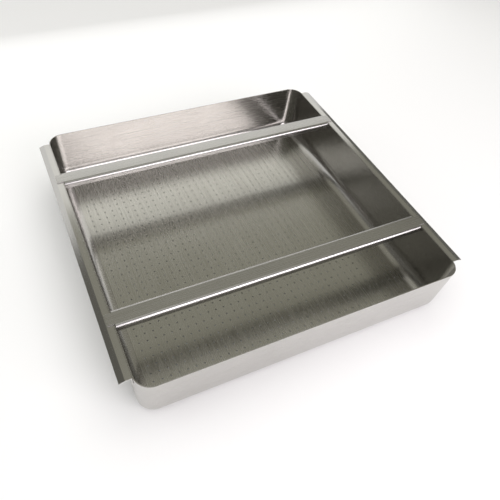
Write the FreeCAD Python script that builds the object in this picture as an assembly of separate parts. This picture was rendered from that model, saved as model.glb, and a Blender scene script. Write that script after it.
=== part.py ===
import FreeCAD, Part
import math
import os

# Perforated basket tray with two slide bars, for the bowl of a dish table.
# Millimetres. Z is up, X runs along the slide bars, Y runs from front to back.
# The origin is on the ground, under the middle of the basket.

# Sheet metal gauges.
SHEET = 1.5               # walls, rails and slide bars
FLOOR_SHEET = 1.2         # perforated floor

# Basket shell, measured on its outer faces.
BODY_WIDTH = 500.0        # square, across the rim
RIM_HEIGHT = 91.5         # underside to the raw edge of the rim
DRAFT = math.radians(2.4)  # the walls lean outwards going up
CORNER_RADIUS = 24.0      # upright corners
COVE_RADIUS = 20.0        # wall into floor, outer face
LEDGE_WIDTH = 9.0         # flat margin that carries the perforated floor

# Perforated floor.
FLOOR_CLEARANCE = 0.8     # between the panel's edge and the foot of the cove
HOLE_DIAMETER = 2.4
HOLE_PITCH = 12.7
HOLES_EACH_WAY = 35

# Side rails: a leg down the wall, a flat flange and a lip that slopes down.
# The corner between leg and flange is welded to the rim and ground flush, so it stays sharp.
RAIL_LENGTH = 459.0
RAIL_LEG = 16.0
FLANGE_REACH = 8.7        # wall's outer face to the lip's bend
LIP_REACH = 8.3
LIP_DROP = 3.0
RAIL_BEND_INSIDE = 1.0
RAIL_BEND_OUTSIDE = RAIL_BEND_INSIDE + SHEET

# Slide bars: channels that open downwards, with a flat tab at each end.
BAR_WIDTH = 28.0
BAR_DEPTH = 11.0
BAR_BEND_OUTSIDE = 5.0
BAR_WALL_GAP = 0.6        # channel's end to the inner face of the wall
TAB_LAP = 8.0             # tab's reach over the rail's flange
FRONT_BAR_Y = -142.0
REAR_BAR_Y = 138.0

PARTS = "parts"


def rounded_square(half, radius, z):
    """Closed wire of a square of half-width `half` with round corners."""
    flat = half - radius
    mid = flat + radius * math.cos(math.radians(45))
    edges = []
    for turn in range(4):
        angle = math.radians(90 * turn)

        def at(x, y):
            return FreeCAD.Vector(
                x * math.cos(angle) - y * math.sin(angle),
                x * math.sin(angle) + y * math.cos(angle),
                z,
            )

        edges.append(Part.LineSegment(at(half, -flat), at(half, flat)).toShape())
        edges.append(Part.Arc(at(half, flat), at(mid, mid), at(flat, half)).toShape())
    return Part.Wire(edges)


def wall_half(z, inset=0.0):
    """Half-width of the wall at height z, `inset` in from its outer face."""
    return BODY_WIDTH / 2 - (RIM_HEIGHT - z) * math.tan(DRAFT) - inset / math.cos(DRAFT)


def leaning_tub(floor_z, top_z, inset):
    """Solid tub with leaning walls and a round edge at its foot."""
    radius = CORNER_RADIUS - inset
    low = rounded_square(wall_half(floor_z, inset), radius, floor_z)
    high = rounded_square(wall_half(top_z, inset), radius, top_z)
    tub = Part.makeLoft([low, high], True, True)
    foot = [e for e in tub.Edges if e.BoundBox.ZMax < floor_z + 0.01]
    return tub.makeFillet(COVE_RADIUS - inset, foot)


def floor_half():
    """Half-width of the flat floor inside the cove."""
    inner_radius = COVE_RADIUS - SHEET
    lean = math.tan(math.pi / 4 - DRAFT / 2)
    return wall_half(SHEET, SHEET) - inner_radius * lean


def basket_shell():
    """Four leaning walls, the cove and the ledge around the open floor."""
    outer = leaning_tub(0.0, RIM_HEIGHT, 0.0)
    inner = leaning_tub(SHEET, RIM_HEIGHT + 5.0, SHEET)
    opening_half = floor_half() - LEDGE_WIDTH
    opening = Part.Face(rounded_square(opening_half, 4.0, -1.0))
    opening = opening.extrude(FreeCAD.Vector(0, 0, SHEET + 2.0))
    return outer.cut(inner).cut(opening)


def floor_panel():
    """Flat sheet on the ledge, with a straight grid of round holes."""
    half = floor_half() - FLOOR_CLEARANCE
    corner = CORNER_RADIUS - COVE_RADIUS - FLOOR_CLEARANCE
    outline = rounded_square(half, corner, SHEET)
    first = -HOLE_PITCH * (HOLES_EACH_WAY - 1) / 2
    downwards = FreeCAD.Vector(0, 0, -1)
    holes = []
    for row in range(HOLES_EACH_WAY):
        for column in range(HOLES_EACH_WAY):
            centre = FreeCAD.Vector(first + column * HOLE_PITCH, first + row * HOLE_PITCH, SHEET)
            hole = Part.Wire([Part.Circle(centre, downwards, HOLE_DIAMETER / 2).toShape()])
            holes.append(hole)
    face = Part.Face([outline] + holes)
    return face.extrude(FreeCAD.Vector(0, 0, FLOOR_SHEET))


def round_bends(solid, bends, direction):
    """Round the long edges that pass through the given section points."""
    for point, radius in bends:
        edges = []
        for edge in solid.Edges:
            start, end = edge.Vertexes[0].Point, edge.Vertexes[-1].Point
            along = abs((end - start).dot(direction))
            offset = start - point
            off_axis = (offset - direction * offset.dot(direction)).Length
            if along > 50.0 and off_axis < 0.01:
                edges.append(edge)
        solid = solid.makeFillet(radius, edges)
    return solid


def right_rail():
    """Side rail against the outer face of the right wall."""
    top = RIM_HEIGHT
    under = top - SHEET
    foot = top - RAIL_LEG
    bend_x = BODY_WIDTH / 2 + FLANGE_REACH
    lip_angle = math.atan2(LIP_DROP, LIP_REACH)
    lip_x, lip_z = bend_x + LIP_REACH, top - LIP_DROP
    under_bend_x = bend_x - SHEET * math.tan(lip_angle / 2)
    leg_x = wall_half(foot)
    thick = SHEET / math.cos(DRAFT)
    section = [
        (BODY_WIDTH / 2, top),
        (bend_x, top),
        (lip_x, lip_z),
        (lip_x - SHEET * math.sin(lip_angle), lip_z - SHEET * math.cos(lip_angle)),
        (under_bend_x, under),
        (wall_half(under) + thick, under),
        (leg_x + thick, foot),
        (leg_x, foot),
    ]
    y = -RAIL_LENGTH / 2
    points = [FreeCAD.Vector(x, y, z) for x, z in section]
    face = Part.Face(Part.makePolygon(points + points[:1]))
    rail = face.extrude(FreeCAD.Vector(0, RAIL_LENGTH, 0))
    bends = [
        (points[1], RAIL_BEND_OUTSIDE),
        (points[4], RAIL_BEND_INSIDE),
        (points[5], RAIL_BEND_INSIDE),
    ]
    return round_bends(rail, bends, FreeCAD.Vector(0, 1, 0))


def left_rail():
    """Mirror image of the right rail."""
    return right_rail().mirror(FreeCAD.Vector(0, 0, 0), FreeCAD.Vector(1, 0, 0))


def slide_bar(centre_y):
    """Channel between the walls, with tabs over the rim and the flanges."""
    half = BAR_WIDTH / 2
    under = RIM_HEIGHT
    top = under + SHEET
    foot = top - BAR_DEPTH
    reach = wall_half(foot, SHEET) - BAR_WALL_GAP
    section = [
        (-half, foot),
        (-half, top),
        (half, top),
        (half, foot),
        (half - SHEET, foot),
        (half - SHEET, under),
        (SHEET - half, under),
        (SHEET - half, foot),
    ]
    points = [FreeCAD.Vector(-reach, centre_y + y, z) for y, z in section]
    face = Part.Face(Part.makePolygon(points + points[:1]))
    channel = face.extrude(FreeCAD.Vector(2 * reach, 0, 0))
    bends = [
        (points[1], BAR_BEND_OUTSIDE),
        (points[2], BAR_BEND_OUTSIDE),
        (points[5], BAR_BEND_OUTSIDE - SHEET),
        (points[6], BAR_BEND_OUTSIDE - SHEET),
    ]
    channel = round_bends(channel, bends, FreeCAD.Vector(1, 0, 0))
    tab_half = BODY_WIDTH / 2 + TAB_LAP
    flat = half - BAR_BEND_OUTSIDE
    corner = FreeCAD.Vector(-tab_half, centre_y - flat, under)
    tabs = Part.makeBox(2 * tab_half, 2 * flat, SHEET, corner)
    return channel.fuse(tabs).removeSplitter()


def export(name, shape):
    """Write one sub-part and print its volume."""
    solid = shape.Solids[0] if len(shape.Solids) == 1 else shape
    solid.exportStep(os.path.join(PARTS, name + ".step"))
    print(name, len(shape.Solids), "solid", round(shape.Volume), "mm3", "valid", shape.isValid())


def main():
    os.makedirs("parts", exist_ok=True)
    export("basket_shell", basket_shell())
    export("floor_panel", floor_panel())
    export("left_rail", left_rail())
    export("right_rail", right_rail())
    export("front_slide_bar", slide_bar(FRONT_BAR_Y))
    export("rear_slide_bar", slide_bar(REAR_BAR_Y))


main()
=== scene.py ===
"""The looks of a square stainless steel basket tray with two slide bars across its top.

Each sheet metal piece is a class that folds its own sheet, dresses it in a satin steel finish and
puts it in the place of the matching frame node. Sizes are in metres and come from the frame.
"""

import logging
import math
from collections.abc import Callable
from dataclasses import dataclass
from enum import Enum

import bmesh
import bpy
from mathutils import Matrix, Vector

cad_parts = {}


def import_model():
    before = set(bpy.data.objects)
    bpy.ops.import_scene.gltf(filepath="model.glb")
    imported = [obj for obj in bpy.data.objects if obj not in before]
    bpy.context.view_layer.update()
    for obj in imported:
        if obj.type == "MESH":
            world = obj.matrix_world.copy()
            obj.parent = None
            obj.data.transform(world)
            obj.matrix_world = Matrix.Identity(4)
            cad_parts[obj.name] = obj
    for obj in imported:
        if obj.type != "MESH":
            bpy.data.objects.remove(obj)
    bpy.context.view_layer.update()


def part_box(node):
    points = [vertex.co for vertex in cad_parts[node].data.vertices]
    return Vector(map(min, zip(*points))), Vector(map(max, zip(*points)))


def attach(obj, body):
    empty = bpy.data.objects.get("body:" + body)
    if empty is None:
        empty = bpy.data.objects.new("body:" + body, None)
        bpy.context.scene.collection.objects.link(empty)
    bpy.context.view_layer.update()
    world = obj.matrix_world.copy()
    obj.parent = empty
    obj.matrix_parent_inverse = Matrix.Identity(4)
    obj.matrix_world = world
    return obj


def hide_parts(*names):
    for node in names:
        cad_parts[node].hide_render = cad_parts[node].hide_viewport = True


LOG = logging.getLogger("basket_tray")
BODY = "root"

# Gauges of the sheets.
SHEET = 0.0015
FLOOR_SHEET = 0.0012

# Shell: lean of its walls, radii of its outer faces and the flat margin under the floor panel.
DRAFT = math.radians(2.4)
CORNER_RADIUS = 0.024
COVE_RADIUS = 0.020
LEDGE_WIDTH = 0.009

# Tolerances: points closer than SAME are one point, and those within NEAR lie on the same line.
SAME = 1e-6
NEAR = 1e-5


class Side(Enum):
    """Which side of the basket a piece is on, as the sign of X."""

    LEFT = -1
    RIGHT = 1


class Grain(Enum):
    """Direction of a sheet's brushed grain."""

    ALONG_X = "x"
    ALONG_Y = "y"


class Bench:
    """The modelling moves that every piece shares."""

    EVEN_ROUND = 0.5
    BURR = 0.00025
    BURR_STEPS = 2
    BURR_ANGLE = math.radians(60)
    SMOOTH_ANGLE = math.radians(35)
    FLAT_WEIGHT = 80

    @staticmethod
    def clear() -> None:
        """Leave edit mode and deselect everything."""
        if bpy.context.object and bpy.context.object.mode != "OBJECT":
            bpy.ops.object.mode_set(mode="OBJECT")
        bpy.ops.object.select_all(action="DESELECT")

    @staticmethod
    def start(name: str, size: tuple[float, float, float] = (1.0, 1.0, 1.0)) -> bpy.types.Object:
        """Name the primitive just added, size it and put its place into its mesh.

        Args:
            name: The piece's name.
            size: How much larger than it was added.

        Returns:
            The piece, active, selected and in object mode.
        """
        piece = bpy.context.object
        piece.name = name
        piece.data.name = name
        bpy.ops.transform.resize(value=size)
        bpy.ops.object.transform_apply(location=True, rotation=True, scale=True)
        return piece

    @staticmethod
    def pick(mode: str, wanted: Callable[[object], bool]) -> None:
        """Select only the wanted elements of the mesh in edit mode.

        Args:
            mode: "VERT", "EDGE" or "FACE".
            wanted: Says whether an element is wanted.
        """
        bpy.ops.mesh.select_mode(type=mode)
        bpy.ops.mesh.select_all(action="DESELECT")
        mesh = bmesh.from_edit_mesh(bpy.context.object.data)
        kinds = {"VERT": mesh.verts, "EDGE": mesh.edges, "FACE": mesh.faces}
        for element in kinds[mode]:
            if wanted(element):
                element.select_set(True)
        mesh.select_flush_mode()
        bmesh.update_edit_mesh(bpy.context.object.data)

    @staticmethod
    def pull(direction: Vector) -> None:
        """Extrude the selected edges.

        Args:
            direction: How far and which way they go.
        """
        bpy.ops.mesh.extrude_region_move(TRANSFORM_OT_translate={"value": tuple(direction)})

    @staticmethod
    def spread(ratio: float) -> None:
        """Scale the selection level, about the upright axis.

        Args:
            ratio: The scale.
        """
        bpy.ops.transform.resize(value=(ratio, ratio, 1.0), center_override=(0, 0, 0))

    @classmethod
    def bend(cls, setback: float, steps: int) -> None:
        """Round the selected edges.

        Args:
            setback: Distance from the edge to where the bend starts.
            steps: The number of facets round the bend.
        """
        bpy.ops.mesh.bevel(offset=setback, segments=steps, profile=cls.EVEN_ROUND, affect="EDGES")

    @staticmethod
    def apply(piece: bpy.types.Object, kind: str, **settings: object) -> None:
        """Add a modifier with its settings and apply it.

        Args:
            piece: The piece to change.
            kind: The modifier's type.
            **settings: The modifier's properties.
        """
        modifier = piece.modifiers.new(kind.lower(), kind)
        for key, value in settings.items():
            setattr(modifier, key, value)
        bpy.ops.object.modifier_apply(modifier=modifier.name)

    @classmethod
    def thicken(cls, piece: bpy.types.Object) -> None:
        """Give a folded sheet its gauge, behind its face, and soften its raw edges.

        Args:
            piece: The folded sheet, in edit mode, with its outer face outwards.
        """
        bpy.ops.object.mode_set(mode="OBJECT")
        cls.apply(piece, "SOLIDIFY", thickness=SHEET, offset=-1.0, use_even_offset=True)
        cls.apply(
            piece,
            "BEVEL",
            width=cls.BURR,
            segments=cls.BURR_STEPS,
            limit_method="ANGLE",
            angle_limit=cls.BURR_ANGLE,
        )
        bpy.ops.object.shade_smooth_by_angle(angle=cls.SMOOTH_ANGLE)
        cls.apply(piece, "WEIGHTED_NORMAL", keep_sharp=True, weight=cls.FLAT_WEIGHT)

    @staticmethod
    def outwards() -> None:
        """Merge doubles and make the faces of the mesh in edit mode agree."""
        bpy.ops.mesh.select_all(action="SELECT")
        bpy.ops.mesh.remove_doubles(threshold=SAME)
        bpy.ops.mesh.normals_make_consistent(inside=False)

    @classmethod
    def face(cls, guide: Callable[[object], float], axis: str) -> None:
        """Turn an open sheet so that its guiding face looks along an axis.

        Args:
            guide: Scores a face. The face with the highest score guides the sheet.
            axis: "x" or "z".
        """
        cls.outwards()
        mesh = bmesh.from_edit_mesh(bpy.context.object.data)
        mesh.normal_update()
        if getattr(max(mesh.faces, key=guide).normal, axis) < 0:
            bpy.ops.mesh.flip_normals()


@dataclass(frozen=True)
class SteelFinish:
    """Satin stainless sheet: fine straight grain over a slightly wavy face.

    Attributes:
        name: The material's name.
        light: Base colour of the clean metal.
        dull: Base colour where it is slightly stained.
        roughness: Mean roughness.
        swing: Roughness variation along the grain.
        grain: Direction of the grain.
    """

    name: str
    light: tuple[float, float, float]
    dull: tuple[float, float, float]
    roughness: float
    swing: float
    grain: Grain

    # Texture scale across and along the grain.
    GRAIN_FINE = 1400.0
    GRAIN_LONG = 14.0

    # Scale and detail of each noise.
    SCRATCH = (1.0, 3.0)
    CLOUD = (9.0, 2.0)
    SWELL = (5.0, 0.0)

    # Part of the noise's range that carries the change.
    NOISE_LOW = 0.35
    NOISE_HIGH = 0.65

    # Strength and distance of each bump.
    WAVE_BUMP = (0.10, 0.01)
    GRAIN_BUMP = (0.05, 0.0002)

    def grain_scale(self) -> tuple[float, float, float]:
        """Texture scale that is long along the grain and fine across it.

        Returns:
            The scale along X, Y and Z.
        """
        scale = {axis: self.GRAIN_FINE for axis in "xyz"}
        scale[self.grain.value] = self.GRAIN_LONG
        return (scale["x"], scale["y"], scale["z"])

    def build(self) -> bpy.types.Material:
        """Make the node material.

        Returns:
            The finished material.
        """
        material = bpy.data.materials.new(self.name)
        material.use_nodes = True
        tree = material.node_tree
        shader = tree.nodes["Principled BSDF"]
        shader.inputs["Metallic"].default_value = 1.0
        place = tree.nodes.new("ShaderNodeTexCoord")
        stretch = tree.nodes.new("ShaderNodeMapping")
        stretch.inputs["Scale"].default_value = self.grain_scale()
        tree.links.new(place.outputs["Object"], stretch.inputs["Vector"])
        scratch = self.noise(tree, stretch.outputs["Vector"], *self.SCRATCH)
        cloud = self.noise(tree, place.outputs["Object"], *self.CLOUD)
        swell = self.noise(tree, place.outputs["Object"], *self.SWELL)
        self.tint(tree, shader, cloud)
        self.roughen(tree, shader, scratch)
        self.emboss(tree, shader, scratch, swell)
        return material

    @staticmethod
    def noise(
        tree: bpy.types.NodeTree, vector: bpy.types.NodeSocket, scale: float, detail: float
    ) -> bpy.types.NodeSocket:
        """Add a noise texture.

        Args:
            tree: The material's tree.
            vector: Where it is sampled.
            scale: Its scale.
            detail: Its octaves.

        Returns:
            The noise value's socket.
        """
        node = tree.nodes.new("ShaderNodeTexNoise")
        node.inputs["Scale"].default_value = scale
        node.inputs["Detail"].default_value = detail
        tree.links.new(vector, node.inputs["Vector"])
        return node.outputs["Fac"]

    def tint(
        self, tree: bpy.types.NodeTree, shader: bpy.types.Node, cloud: bpy.types.NodeSocket
    ) -> None:
        """Colour the metal between its clean and its dull tone.

        Args:
            tree: The material's tree.
            shader: The metal's shader.
            cloud: The noise that spreads the two tones.
        """
        ramp = tree.nodes.new("ShaderNodeValToRGB")
        ramp.color_ramp.elements[0].position = self.NOISE_LOW
        ramp.color_ramp.elements[0].color = (*self.dull, 1.0)
        ramp.color_ramp.elements[1].position = self.NOISE_HIGH
        ramp.color_ramp.elements[1].color = (*self.light, 1.0)
        tree.links.new(cloud, ramp.inputs["Fac"])
        tree.links.new(ramp.outputs["Color"], shader.inputs["Base Color"])

    def roughen(
        self, tree: bpy.types.NodeTree, shader: bpy.types.Node, scratch: bpy.types.NodeSocket
    ) -> None:
        """Vary the roughness with the grain.

        Args:
            tree: The material's tree.
            shader: The metal's shader.
            scratch: The grain's noise.
        """
        span = tree.nodes.new("ShaderNodeMapRange")
        span.inputs["From Min"].default_value = self.NOISE_LOW
        span.inputs["From Max"].default_value = self.NOISE_HIGH
        span.inputs["To Min"].default_value = self.roughness - self.swing
        span.inputs["To Max"].default_value = self.roughness + self.swing
        tree.links.new(scratch, span.inputs["Value"])
        tree.links.new(span.outputs["Result"], shader.inputs["Roughness"])

    def emboss(
        self,
        tree: bpy.types.NodeTree,
        shader: bpy.types.Node,
        scratch: bpy.types.NodeSocket,
        swell: bpy.types.NodeSocket,
    ) -> None:
        """Bump the face with the grain and the sheet's slow waves.

        Args:
            tree: The material's tree.
            shader: The metal's shader.
            scratch: The grain's noise.
            swell: The slow waves' noise.
        """
        slow = self.bump(tree, swell, *self.WAVE_BUMP)
        fine = self.bump(tree, scratch, *self.GRAIN_BUMP)
        tree.links.new(slow.outputs["Normal"], fine.inputs["Normal"])
        tree.links.new(fine.outputs["Normal"], shader.inputs["Normal"])

    @staticmethod
    def bump(
        tree: bpy.types.NodeTree, height: bpy.types.NodeSocket, strength: float, distance: float
    ) -> bpy.types.Node:
        """Add a bump.

        Args:
            tree: The material's tree.
            height: The noise that it follows.
            strength: Its strength.
            distance: Its height, in metres.

        Returns:
            The bump's node.
        """
        node = tree.nodes.new("ShaderNodeBump")
        node.inputs["Strength"].default_value = strength
        node.inputs["Distance"].default_value = distance
        tree.links.new(height, node.inputs["Height"])
        return node


def settle(
    piece: bpy.types.Object, finish: bpy.types.Material, nodes: tuple[str, ...]
) -> bpy.types.Object:
    """Dress a finished piece and put it in the place of its frame nodes.

    Args:
        piece: The piece, with its place in its mesh.
        finish: Its material.
        nodes: The frame nodes that it stands for.

    Returns:
        The same piece.
    """
    piece.data.materials.clear()
    piece.data.materials.append(finish)
    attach(piece, BODY)
    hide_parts(*nodes)
    LOG.info("%s: %d faces", piece.name, len(piece.data.polygons))
    return piece


@dataclass
class BasketShell:
    """Leaning walls, coved foot and the ledge round the open floor.

    Attributes:
        width: Outer width across the rim.
        rim: Height of the raw rim.
    """

    width: float
    rim: float

    CORNER_STEPS = 14
    COVE_STEPS = 10
    TURN_SHARE = math.tan(math.pi / 4 - DRAFT / 2)
    FACING = 0.9
    LEVEL = 0.999

    @classmethod
    def from_frame(cls) -> "BasketShell":
        """Read the shell's sizes from the frame.

        Returns:
            The shell.
        """
        low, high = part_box("basket_shell")
        return cls(width=high[0] - low[0], rim=high[2])

    def half_at(self, height: float, inset: float = 0.0) -> float:
        """Half-width of the wall.

        Args:
            height: Height above the ground.
            inset: Distance in from the wall's outer face.

        Returns:
            The half-width there.
        """
        lean = (self.rim - height) * math.tan(DRAFT)
        return self.width / 2 - lean - inset / math.cos(DRAFT)

    def floor_half(self) -> float:
        """Half-width of the flat floor inside the cove.

        Returns:
            The half-width.
        """
        return self.half_at(SHEET, SHEET) - (COVE_RADIUS - SHEET) * self.TURN_SHARE

    def build(self, finish: bpy.types.Material) -> bpy.types.Object:
        """Form the shell from one block.

        Args:
            finish: The steel that it is made of.

        Returns:
            The finished shell.
        """
        Bench.clear()
        bpy.ops.mesh.primitive_cube_add(size=1.0, location=(0, 0, self.rim / 2))
        shell = Bench.start("formed_shell", (self.width, self.width, self.rim))
        bpy.ops.object.mode_set(mode="EDIT")
        self.lean_walls()
        self.round_corners()
        self.open_floor()
        Bench.face(lambda f: f.calc_center_median().x, "x")
        Bench.thicken(shell)
        return settle(shell, finish, ("basket_shell",))

    def lean_walls(self) -> None:
        """Draw the foot in and open the top."""
        Bench.pick("FACE", lambda f: f.normal.z < -self.FACING)
        Bench.spread(self.half_at(0.0) / (self.width / 2))
        Bench.pick("FACE", lambda f: f.normal.z > self.FACING)
        bpy.ops.mesh.delete(type="ONLY_FACE")

    def round_corners(self) -> None:
        """Round the upright corners, then the foot of the walls."""
        Bench.pick("EDGE", lambda e: abs(e.verts[0].co.z - e.verts[1].co.z) > self.rim / 2)
        Bench.bend(CORNER_RADIUS, self.CORNER_STEPS)
        Bench.pick("EDGE", lambda e: e.verts[0].co.z + e.verts[1].co.z < NEAR)
        Bench.bend(COVE_RADIUS * self.TURN_SHARE, self.COVE_STEPS)

    def open_floor(self) -> None:
        """Cut the floor out, leaving the ledge."""
        Bench.pick("FACE", lambda f: f.normal.z < -self.LEVEL and len(f.verts) > 4)
        bpy.ops.mesh.extrude_region()
        outer = self.floor_half()
        Bench.spread((outer - LEDGE_WIDTH) / outer)
        bpy.ops.mesh.delete(type="FACE")


@dataclass
class FloorPanel:
    """Flat sheet with a straight grid of round drain holes.

    Attributes:
        half: Half of the panel's width.
        top: Height of its upper face.
    """

    half: float
    top: float

    HOLE_RADIUS = 0.0012
    PITCH = 0.0127
    EACH_WAY = 35
    SIDES = 12
    CLEARANCE = 0.0008

    @classmethod
    def from_frame(cls) -> "FloorPanel":
        """Read the panel's sizes from the frame.

        Returns:
            The panel.
        """
        _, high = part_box("floor_panel")
        return cls(half=high[0], top=high[2])

    def build(self, finish: bpy.types.Material) -> bpy.types.Object:
        """Punch one cell, repeat it and add the plain margin.

        Args:
            finish: The steel that it is made of.

        Returns:
            The finished panel.
        """
        panel = self.cell()
        step = {"use_relative_offset": False, "use_constant_offset": True}
        merge = {"use_merge_vertices": True, "merge_threshold": NEAR}
        for axis in ((self.PITCH, 0, 0), (0, self.PITCH, 0)):
            Bench.apply(
                panel, "ARRAY", count=self.EACH_WAY, constant_offset_displace=axis, **step, **merge
            )
        bpy.ops.object.mode_set(mode="EDIT")
        self.margin()
        Bench.outwards()
        bpy.ops.object.mode_set(mode="OBJECT")
        Bench.apply(panel, "SOLIDIFY", thickness=FLOOR_SHEET, offset=-1.0)
        return settle(panel, finish, ("floor_panel",))

    def cell(self) -> bpy.types.Object:
        """One square cell with a hole, at the grid's first corner.

        Returns:
            The cell, in object mode.
        """
        first = -self.PITCH * (self.EACH_WAY - 1) / 2
        Bench.clear()
        bpy.ops.mesh.primitive_plane_add(size=self.PITCH, location=(first, first, self.top))
        cell = Bench.start("punched_floor")
        bpy.ops.object.mode_set(mode="EDIT")
        bpy.ops.mesh.select_all(action="SELECT")
        bpy.ops.mesh.subdivide(number_cuts=self.SIDES // 4 - 1)
        reach = self.PITCH / 2 - NEAR
        Bench.pick("VERT", lambda v: max(abs(v.co.x - first), abs(v.co.y - first)) < reach)
        bpy.ops.mesh.delete(type="VERT")
        bpy.ops.mesh.select_all(action="SELECT")
        bpy.ops.mesh.delete(type="ONLY_FACE")
        bpy.ops.mesh.primitive_circle_add(
            vertices=self.SIDES,
            radius=self.HOLE_RADIUS,
            location=(first, first, self.top),
            rotation=(0, 0, math.radians(45)),
        )
        bpy.ops.mesh.select_all(action="SELECT")
        bpy.ops.mesh.bridge_edge_loops()
        bpy.ops.object.mode_set(mode="OBJECT")
        return cell

    def margin(self) -> None:
        """Pull the grid's outline out to the panel's edge and ease its corners."""
        field = self.PITCH * self.EACH_WAY / 2
        Bench.pick(
            "EDGE",
            lambda e: e.is_boundary
            and all(max(abs(v.co.x), abs(v.co.y)) > field - NEAR for v in e.verts),
        )
        bpy.ops.mesh.extrude_edges_move()
        Bench.spread(self.half / field)
        Bench.pick("VERT", lambda v: min(abs(v.co.x), abs(v.co.y)) > self.half - NEAR)
        corner = CORNER_RADIUS - COVE_RADIUS - self.CLEARANCE
        Bench.spread(1 - corner * (1 - math.sqrt(0.5)) / self.half)


@dataclass
class SideRail:
    """Bent strip along a wall: leg, flat flange and a lip that slopes down.

    Attributes:
        side: Left or right.
        shell: The shell that it is fixed to.
        reach: Outer edge of the lip, from the middle.
        length: The rail's length.
        leg: How far the leg runs down the wall.
    """

    side: Side
    shell: BasketShell
    reach: float
    length: float
    leg: float

    LIP_REACH = 0.0083
    LIP_DROP = 0.003
    BEND_RADIUS = 0.0025
    BEND_STEPS = 4

    @classmethod
    def from_frame(cls, side: Side, shell: BasketShell) -> "SideRail":
        """Read the rail's sizes from the frame.

        Args:
            side: Left or right.
            shell: The shell that it is fixed to.

        Returns:
            The rail.
        """
        low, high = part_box(f"{side.name.lower()}_rail")
        reach = max(abs(low[0]), abs(high[0]))
        return cls(side, shell, reach, high[1] - low[1], high[2] - low[2])

    def build(self, finish: bpy.types.Material) -> bpy.types.Object:
        """Fold the rail from a flat strip.

        Args:
            finish: The steel that it is made of.

        Returns:
            The finished rail.
        """
        sign = self.side.value
        wall = self.shell.width / 2
        bend = self.reach - self.LIP_REACH
        Bench.clear()
        bpy.ops.mesh.primitive_plane_add(
            size=1.0, location=(sign * (wall + bend) / 2, 0, self.shell.rim)
        )
        rail = Bench.start(
            f"folded_{self.side.name.lower()}_rail", (bend - wall, self.length, 1.0)
        )
        bpy.ops.object.mode_set(mode="EDIT")
        self.pick_long_edge(bend)
        Bench.pull(Vector((sign * self.LIP_REACH, 0, -self.LIP_DROP)))
        self.pick_long_edge(wall)
        Bench.pull(Vector((-sign * self.leg * math.tan(DRAFT), 0, -self.leg)))
        self.pick_long_edge(bend)
        lip_angle = math.atan2(self.LIP_DROP, self.LIP_REACH)
        Bench.bend(self.BEND_RADIUS * math.tan(lip_angle / 2), self.BEND_STEPS)
        Bench.face(lambda f: f.calc_center_median().z, "z")
        Bench.thicken(rail)
        return settle(rail, finish, (f"{self.side.name.lower()}_rail",))

    def pick_long_edge(self, distance: float) -> None:
        """Select the rail-long edge at the height of the rim.

        Args:
            distance: Its distance from the basket's middle.
        """
        rim = self.shell.rim
        Bench.pick(
            "EDGE",
            lambda e: all(
                abs(abs(v.co.x) - distance) < SAME and abs(v.co.z - rim) < SAME for v in e.verts
            ),
        )


@dataclass
class SlideBar:
    """Channel that opens downwards, with a flat tab at each end.

    Attributes:
        name: "front" or "rear".
        shell: The shell that it crosses.
        middle: Y of the bar's middle.
        width: Its width.
        top: Height of its upper face.
        depth: Its depth.
        tab_end: X of the tabs' ends.
    """

    name: str
    shell: BasketShell
    middle: float
    width: float
    top: float
    depth: float
    tab_end: float

    BEND = 0.005
    BEND_STEPS = 6
    WALL_GAP = 0.0006
    ROOT_SLACK = 1e-4
    LEVEL = 0.9

    @classmethod
    def from_frame(cls, name: str, shell: BasketShell) -> "SlideBar":
        """Read the bar's sizes from the frame.

        Args:
            name: "front" or "rear".
            shell: The shell that it crosses.

        Returns:
            The bar.
        """
        low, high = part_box(f"{name}_slide_bar")
        middle = (low[1] + high[1]) / 2
        return cls(name, shell, middle, high[1] - low[1], high[2], high[2] - low[2], high[0])

    def build(self, finish: bpy.types.Material) -> bpy.types.Object:
        """Fold the bar from a flat strip.

        Args:
            finish: The steel that it is made of.

        Returns:
            The finished bar.
        """
        span = self.shell.half_at(self.top - self.depth, SHEET) - self.WALL_GAP
        Bench.clear()
        bpy.ops.mesh.primitive_plane_add(size=1.0, location=(0, self.middle, self.top))
        bar = Bench.start(f"folded_{self.name}_bar", (2 * span, self.width, 1.0))
        bpy.ops.object.mode_set(mode="EDIT")
        half = self.width / 2
        for way in (-1, 1):
            self.pick_edges_at(self.middle + way * half)
            Bench.pull(Vector((0, 0, -self.depth)))
        for way in (-1, 1):
            self.pick_edges_at(self.middle + way * half)
            Bench.bend(self.BEND, self.BEND_STEPS)
        flat = half - self.BEND
        for way in (-1, 1):
            Bench.pick("EDGE", lambda e: self.is_tab_root(e, way * span, flat))
            Bench.pull(Vector((way * (self.tab_end - span), 0, 0)))
        Bench.face(lambda f: f.calc_area() if abs(f.normal.z) > self.LEVEL else 0.0, "z")
        Bench.thicken(bar)
        return settle(bar, finish, (f"{self.name}_slide_bar",))

    def pick_edges_at(self, y: float) -> None:
        """Select the bar-long edge at the height of the top.

        Args:
            y: Its Y.
        """
        Bench.pick(
            "EDGE",
            lambda e: all(
                abs(v.co.y - y) < SAME and abs(v.co.z - self.top) < SAME for v in e.verts
            ),
        )

    def is_tab_root(self, edge: bmesh.types.BMEdge, x: float, flat: float) -> bool:
        """Whether an edge is the end of the flat top.

        Args:
            edge: The edge.
            x: X of the end.
            flat: Half of the flat's width.

        Returns:
            True if it is.
        """
        return all(
            abs(v.co.x - x) < SAME
            and abs(v.co.z - self.top) < SAME
            and abs(v.co.y - self.middle) < flat + self.ROOT_SLACK
            for v in edge.verts
        )


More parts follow.
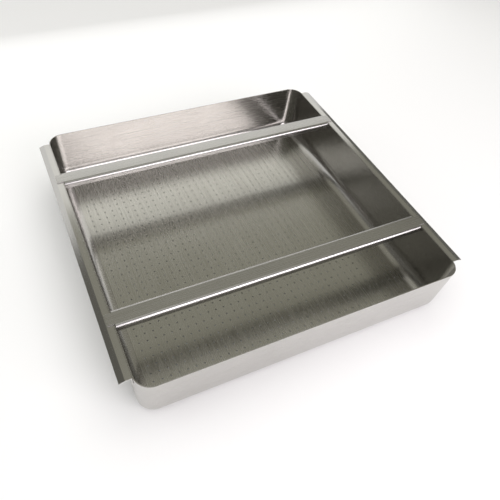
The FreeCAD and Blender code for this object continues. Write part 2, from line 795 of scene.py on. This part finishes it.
@dataclass(frozen=True)
class Eye:
    """Where the picture is taken from.

    Attributes:
        place: The camera's position.
        right: Its sideways direction.
        up: Its upward direction.
        lens: Focal length for a 36 mm wide sensor, in millimetres.
        shift: Lens shift, as fractions of the picture's width.
    """

    place: tuple[float, float, float] = (-0.3039, -0.5019, 0.6702)
    right: tuple[float, float, float] = (0.910598, -0.406401, 0.075162)
    up: tuple[float, float, float] = (0.265451, 0.714501, 0.647321)
    lens: float = 36.895
    shift: tuple[float, float] = (0.0594, -0.0209)

    SENSOR_WIDTH = 36.0
    FARTHEST = 100.0

    def build(self) -> bpy.types.Object:
        """Add the camera and make it the scene's own.

        Returns:
            The camera.
        """
        data = bpy.data.cameras.new("eye")
        data.lens = self.lens
        data.sensor_width = self.SENSOR_WIDTH
        data.shift_x, data.shift_y = self.shift
        data.clip_end = self.FARTHEST
        camera = bpy.data.objects.new("eye", data)
        bpy.context.scene.collection.objects.link(camera)
        right, up = Vector(self.right).normalized(), Vector(self.up).normalized()
        back = right.cross(up).normalized()
        turn = Matrix((right, back.cross(right), back)).transposed().to_4x4()
        camera.matrix_world = Matrix.Translation(self.place) @ turn
        bpy.context.scene.camera = camera
        return camera


@dataclass(frozen=True)
class LightPanel:
    """A flat panel of even, soft light.

    Attributes:
        name: The panel's name.
        middle: Its middle.
        faces: The direction that it shines in.
        size: Its width and height.
        radiance: Its brightness, where white paper in full light is 1.
        tint: Its colour.
        mirrored: Whether it shows in shiny surfaces.
    """

    name: str
    middle: tuple[float, float, float]
    faces: tuple[float, float, float]
    size: tuple[float, float]
    radiance: float
    tint: tuple[float, float, float] = (1.0, 1.0, 1.0)
    mirrored: bool = True

    def build(self) -> bpy.types.Object:
        """Hang the panel.

        Returns:
            The light.
        """
        data = bpy.data.lights.new(self.name, "AREA")
        data.shape = "RECTANGLE"
        data.size, data.size_y = self.size
        data.energy = self.radiance * math.pi * self.size[0] * self.size[1]
        data.color = self.tint
        light = bpy.data.objects.new(self.name, data)
        bpy.context.scene.collection.objects.link(light)
        light.location = self.middle
        light.rotation_euler = Vector(self.faces).to_track_quat("-Z", "Y").to_euler()
        light.visible_camera = False
        light.visible_glossy = self.mirrored
        return light


@dataclass
class Studio:
    """Pale floor, light panels and a dim room round them."""

    FLOOR_SIZE = 30.0
    FLOOR_COLOUR = (0.92, 0.92, 0.92)
    FLOOR_ROUGHNESS = 0.9
    FLOOR_SHINE = 0.1
    ROOM = (0.13, 0.127, 0.112)
    PANELS = (
        LightPanel("back_card", (0.08, 0.79, 0.46), (0, -1, 0), (1.85, 0.76), 0.72),
        LightPanel("ceiling", (0.6, 1.2, 2.0), (0, 0, -1), (3.4, 3.0), 0.16, (1.0, 0.98, 0.78)),
        LightPanel("overhead", (0.1, -0.25, 1.9), (0, 0, -1), (1.8, 1.3), 0.35),
        LightPanel(
            "front_window", (0.6, -1.3, 0.70), (0, 1, 0), (1.5, 1.34), 3.1, (1.0, 0.95, 1.0)
        ),
        LightPanel("top_fill", (-0.5, 0.1, 3.0), (0, 0, -1), (6.0, 6.0), 0.95, mirrored=False),
        LightPanel("left_fill", (-1.5, 0, 0.6), (1, 0, 0), (3.0, 1.2), 0.9, mirrored=False),
    )

    def build(self) -> None:
        """Set up the floor and the lights."""
        bpy.context.scene.view_settings.view_transform = "Standard"
        self.floor()
        self.room()
        for panel in self.PANELS:
            panel.build()

    def floor(self) -> None:
        """Lay a plain pale floor under the basket."""
        Bench.clear()
        bpy.ops.mesh.primitive_plane_add(size=self.FLOOR_SIZE)
        floor = Bench.start("studio_floor")
        material = bpy.data.materials.new("pale_floor")
        material.use_nodes = True
        shader = material.node_tree.nodes["Principled BSDF"]
        shader.inputs["Base Color"].default_value = (*self.FLOOR_COLOUR, 1.0)
        shader.inputs["Roughness"].default_value = self.FLOOR_ROUGHNESS
        shader.inputs["Specular IOR Level"].default_value = self.FLOOR_SHINE
        floor.data.materials.append(material)

    def room(self) -> None:
        """Fill the space round the panels with dim, even light."""
        world = bpy.data.worlds.new("room")
        bpy.context.scene.world = world
        world.use_nodes = True
        background = world.node_tree.nodes["Background"]
        background.inputs["Color"].default_value = (*self.ROOM, 1.0)


def main() -> None:
    """Build the basket tray, piece by piece."""
    logging.basicConfig(level=logging.INFO, format="%(name)s: %(message)s")
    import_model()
    Eye().build()
    Studio().build()
    wall_steel = SteelFinish(
        name="shell_steel",
        light=(0.58, 0.567, 0.545),
        dull=(0.55, 0.537, 0.515),
        roughness=0.22,
        swing=0.06,
        grain=Grain.ALONG_X,
    ).build()
    rail_steel = SteelFinish(
        name="rail_steel",
        light=(0.66, 0.65, 0.63),
        dull=(0.62, 0.61, 0.59),
        roughness=0.18,
        swing=0.03,
        grain=Grain.ALONG_Y,
    ).build()
    floor_steel = SteelFinish(
        name="floor_steel",
        light=(0.61, 0.60, 0.56),
        dull=(0.58, 0.57, 0.53),
        roughness=0.25,
        swing=0.05,
        grain=Grain.ALONG_Y,
    ).build()
    bar_steel = SteelFinish(
        name="bar_steel",
        light=(0.61, 0.60, 0.585),
        dull=(0.58, 0.57, 0.555),
        roughness=0.27,
        swing=0.05,
        grain=Grain.ALONG_X,
    ).build()
    shell = BasketShell.from_frame()
    shell.build(wall_steel)
    FloorPanel.from_frame().build(floor_steel)
    for side in Side:
        SideRail.from_frame(side, shell).build(rail_steel)
    for name in ("front", "rear"):
        SlideBar.from_frame(name, shell).build(bar_steel)


if __name__ == "__main__":
    main()
